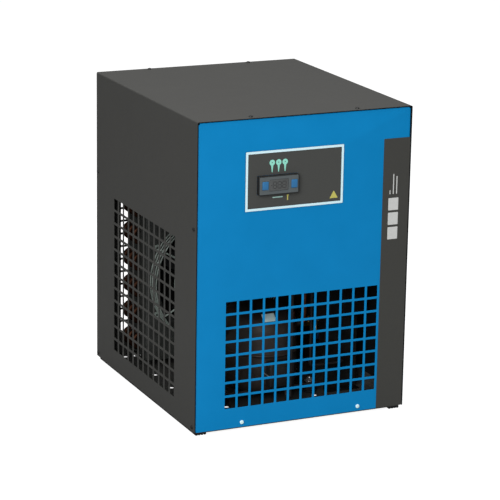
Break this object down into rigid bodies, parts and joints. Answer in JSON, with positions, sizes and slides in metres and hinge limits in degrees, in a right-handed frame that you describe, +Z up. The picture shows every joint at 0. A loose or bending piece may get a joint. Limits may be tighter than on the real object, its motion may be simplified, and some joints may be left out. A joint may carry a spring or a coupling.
{
  "type": "refrigerated air dryer",
  "caption": "Small cabinet refrigerated compressed-air dryer with mesh grilles, control panel, compressor, fan-cooled condenser and condensate drain.",
  "frame": {"origin": "on the floor under the middle of the whole envelope, rear air ports and cord included", "axes": "+X to the right seen from the control panel, +Y from the control panel to the air ports at the back, +Z up"},
  "size_m": [0.3994, 0.496, 0.5422],
  "materials": {
    "grey_paint": "fine matt powder coat",
    "blue_paint": "smooth satin powder coat",
    "dark_label": "printed film",
    "white_frame": "printed film",
    "black_plastic": "moulded, lightly textured",
    "blue_keys": "smooth",
    "display_window": "polished, smoked",
    "black_paint": "semi-gloss enamel",
    "zinc": "zinc plated",
    "copper": "drawn copper",
    "aluminium": "mill finish",
    "brass": "machined",
    "rubber": "matt",
    "foam": "closed-cell foam",
    "blue_hose": "flexible tube",
    "green_rocker": "moulded"
  },
  "bodies": {
    "cabinet": {"air_inlet_pipe": "brass", "air_outlet_pipe": "brass", "back_panel": "grey_paint", "base_pan": "grey_paint", "capillary_tube": "copper", "compressor_grommet_back_left": "rubber", "compressor_grommet_back_right": "rubber", "compressor_grommet_front_left": "rubber", "compressor_grommet_front_right": "rubber", "compressor_shell": "black_paint", "condenser_coil": "copper", "condenser_core": "aluminium", "control_frame": "white_frame", "control_plate": "dark_label", "controller_housing": "black_plastic", "cord_gland": "black_plastic", "discharge_line": "copper", "display_lens": "display_window", "drain_hose": "blue_hose", "drain_outlet": "brass", "drain_solenoid": "black_plastic", "drain_valve_body": "brass", "exchanger_core": "aluminium", "exchanger_stand": "black_paint", "fan_guard": "zinc", "fan_motor": "black_paint", "fan_shroud": "zinc", "filter_drier": "copper", "foot_strip_left": "rubber", "foot_strip_right": "rubber", "front_panel": "blue_paint", "hot_gas_valve": "brass", "insulation_left": "foam", "insulation_right": "foam", "liquid_line": "copper", "power_cord": "rubber", "screw_front_left": "zinc", "screw_front_right": "zinc", "screw_left_back_high": "black_paint", "screw_left_back_low": "black_paint", "screw_left_front_high": "black_paint", "screw_left_front_low": "black_paint", "screw_right_back_high": "black_paint", "screw_right_back_low": "black_paint", "screw_right_front_high": "black_paint", "screw_right_front_low": "black_paint", "screw_top_back_left": "black_paint", "screw_top_back_right": "black_paint", "screw_top_front_left": "black_paint", "screw_top_front_right": "black_paint", "suction_line": "foam", "switch_body": "black_plastic", "terminal_cover": "black_plastic", "trim_strip": "dark_label", "wrap_cover": "grey_paint"},
    "fan": {"fan_rotor": "black_plastic"},
    "left_key": {"key_left": "blue_keys"},
    "right_key": {"key_right": "blue_keys"},
    "power_rocker": {"switch_rocker": "green_rocker"},
    "drain_lever": {"drain_valve_lever": "black_plastic"}
  },
  "joints": [
    {"name": "fan_spin", "type": "hinge", "parent": "cabinet", "child": "fan", "pos_m": [-0.0135, 0.116, 0.17], "axis": [0, 1, 0], "continuous": true},
    {"name": "left_key_press", "type": "slide", "parent": "cabinet", "child": "left_key", "axis": [0, 1, 0], "range_m": [0, 0.0008], "stiffness_N_per_m": 600},
    {"name": "right_key_press", "type": "slide", "parent": "cabinet", "child": "right_key", "axis": [0, 1, 0], "range_m": [0, 0.0008], "stiffness_N_per_m": 600},
    {"name": "rocker_tilt", "type": "hinge", "parent": "cabinet", "child": "power_rocker", "pos_m": [-0.1275, 0.2175, 0.455], "axis": [-1, 0, 0], "range_deg": [0, 20]},
    {"name": "drain_lever_turn", "type": "hinge", "parent": "cabinet", "child": "drain_lever", "pos_m": [0.1365, -0.038, 0.108], "axis": [0, 1, 0], "range_deg": [0, 90]}
  ]
}
